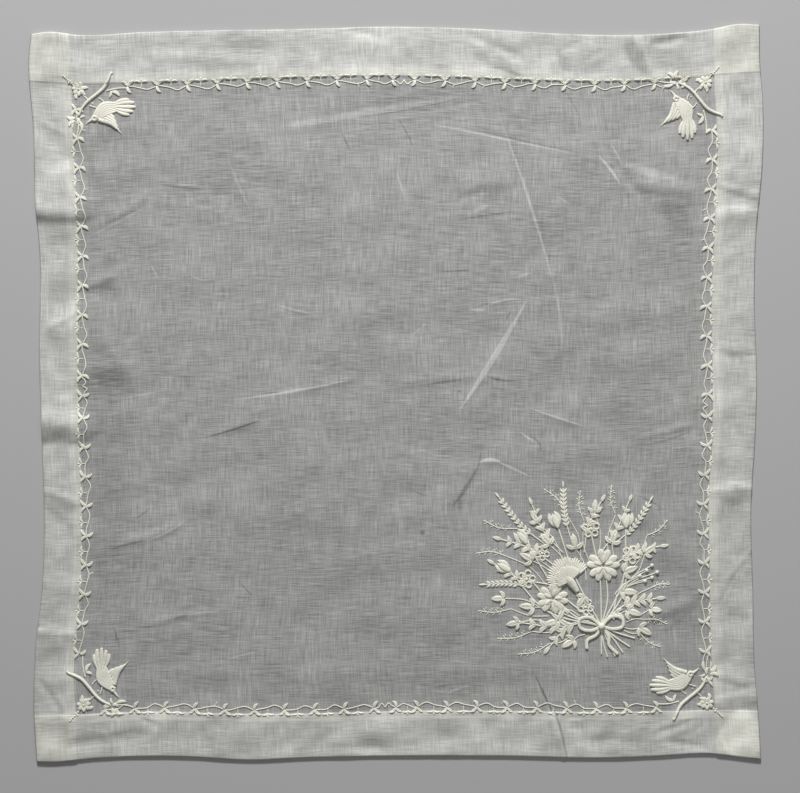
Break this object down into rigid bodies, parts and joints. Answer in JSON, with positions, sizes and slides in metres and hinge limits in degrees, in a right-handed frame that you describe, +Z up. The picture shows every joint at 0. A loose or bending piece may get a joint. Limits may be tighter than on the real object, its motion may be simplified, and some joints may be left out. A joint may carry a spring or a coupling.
{
  "type": "embroidered handkerchief",
  "caption": "Square white lawn handkerchief with a wide turned hem, whitework vine, corner birds on twigs and one large flower spray, lying flat and softly creased.",
  "frame": {"origin": "under the middle of the cloth, on the surface it lies on", "axes": "+Z up from the surface, +Y towards the upper edge and +X towards the right edge as the cloth is seen from above"},
  "size_m": [0.4223, 0.4243, 0.0028],
  "materials": {
    "cloth": "matt, sheer, fine plain weave",
    "thread": "soft cotton sheen"
  },
  "bodies": {
    "root": {"handkerchief_cloth": "cloth"}
  },
  "joints": []
}
